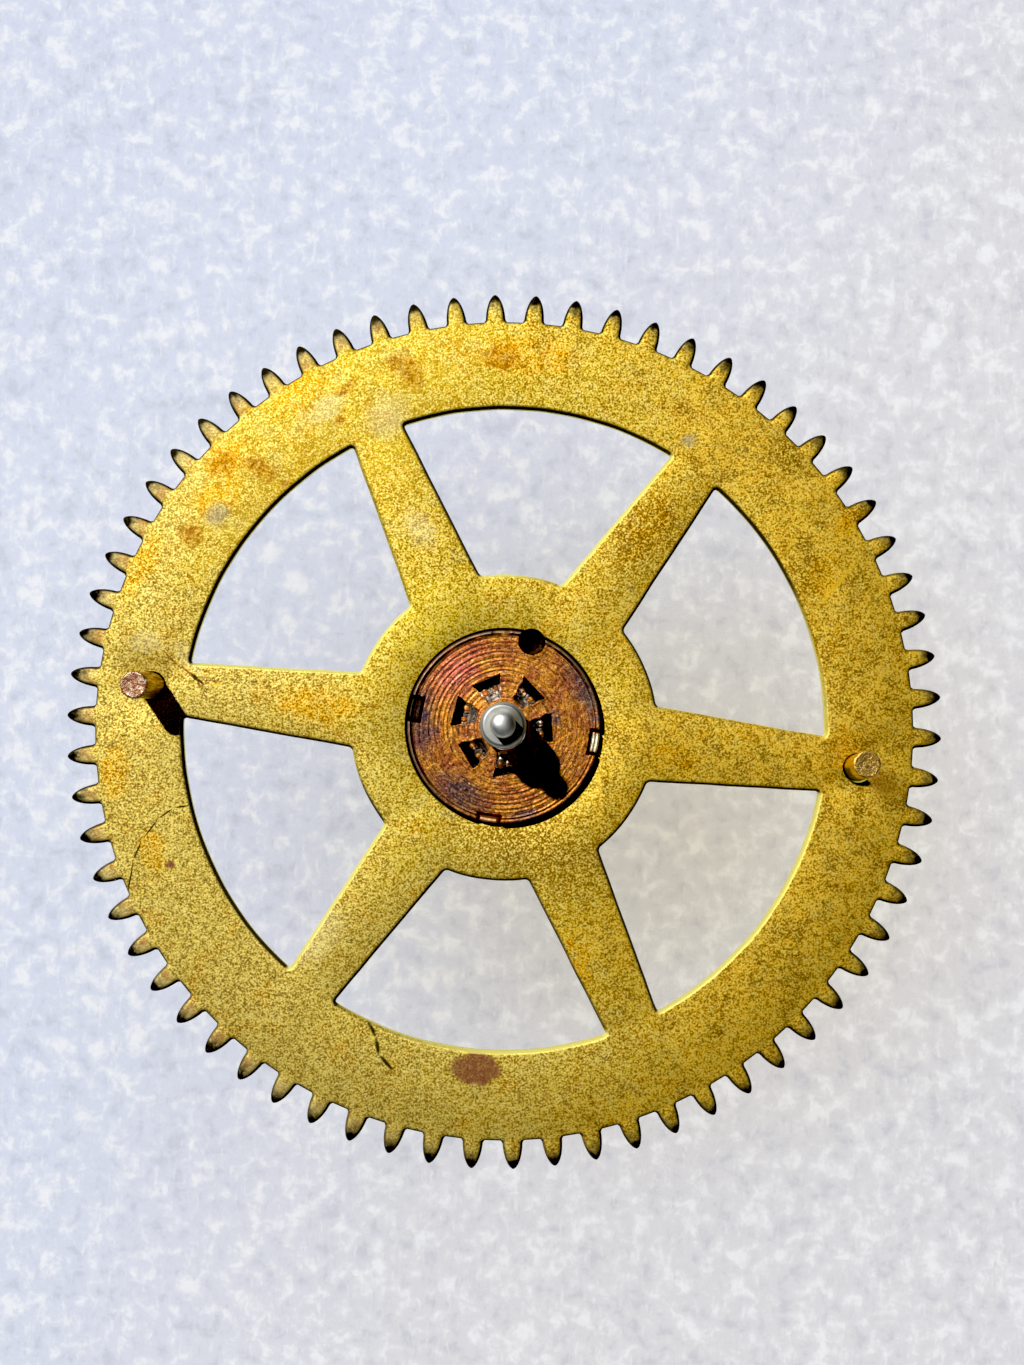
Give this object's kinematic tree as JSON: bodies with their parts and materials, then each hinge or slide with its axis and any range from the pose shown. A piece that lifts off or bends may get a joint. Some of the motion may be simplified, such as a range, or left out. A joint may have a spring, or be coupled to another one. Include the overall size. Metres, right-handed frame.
{
  "type": "clock wheel with lantern pinion",
  "caption": "Six-arm brass clock wheel staked on a lantern pinion, with a steel arbor and two lifting pins.",
  "frame": {"origin": "on the arbor's axis, in the plane of its rear shoulder, which runs against the rear clock plate", "axes": "+Z along the arbor from the rear pivot to the front one, towards the side that the lifting pins stand on; X and Y in the wheel's plane, with the first trundle 8.4 degrees from +X"},
  "size_m": [0.0412, 0.0412, 0.0376],
  "materials": {
    "wheel_brass": "aged rolled brass with a fine satin grain, stains and darkened tooth tips",
    "shroud_brass": "turned face tarnished to copper red and purple brown",
    "rear_shroud_brass": "turned brass, dulled",
    "pin_brass": "drawn brass wire, tarnished brown at the cut ends",
    "arbor_steel": "polished steel",
    "trundle_steel": "hardened steel wire with an oil film"
  },
  "bodies": {
    "arbor_assembly": {"wheel": "wheel_brass", "front_shroud": "shroud_brass", "rear_shroud": "rear_shroud_brass", "arbor": "arbor_steel", "lifting_pin_1": "pin_brass", "lifting_pin_2": "pin_brass"},
    "trundle_1": {"trundle_1": "trundle_steel"},
    "trundle_2": {"trundle_2": "trundle_steel"},
    "trundle_3": {"trundle_3": "trundle_steel"},
    "trundle_4": {"trundle_4": "trundle_steel"},
    "trundle_5": {"trundle_5": "trundle_steel"},
    "trundle_6": {"trundle_6": "trundle_steel"},
    "trundle_7": {"trundle_7": "trundle_steel"}
  },
  "joints": [
    {"name": "trundle_1_roll", "type": "hinge", "parent": "arbor_assembly", "child": "trundle_1", "pos_m": [0.00208, 0.00031, 0.0189], "axis": [0, 0, 1], "continuous": true},
    {"name": "trundle_2_roll", "type": "hinge", "parent": "arbor_assembly", "child": "trundle_2", "pos_m": [0.00106, 0.00182, 0.0189], "axis": [0, 0, 1], "continuous": true},
    {"name": "trundle_3_roll", "type": "hinge", "parent": "arbor_assembly", "child": "trundle_3", "pos_m": [-0.00076, 0.00196, 0.0189], "axis": [0, 0, 1], "continuous": true},
    {"name": "trundle_4_roll", "type": "hinge", "parent": "arbor_assembly", "child": "trundle_4", "pos_m": [-0.002, 0.00062, 0.0189], "axis": [0, 0, 1], "continuous": true},
    {"name": "trundle_5_roll", "type": "hinge", "parent": "arbor_assembly", "child": "trundle_5", "pos_m": [-0.00174, -0.00118, 0.0189], "axis": [0, 0, 1], "continuous": true},
    {"name": "trundle_6_roll", "type": "hinge", "parent": "arbor_assembly", "child": "trundle_6", "pos_m": [-0.00016, -0.00209, 0.0189], "axis": [0, 0, 1], "continuous": true},
    {"name": "trundle_7_roll", "type": "hinge", "parent": "arbor_assembly", "child": "trundle_7", "pos_m": [0.00154, -0.00143, 0.0189], "axis": [0, 0, 1], "continuous": true}
  ]
}
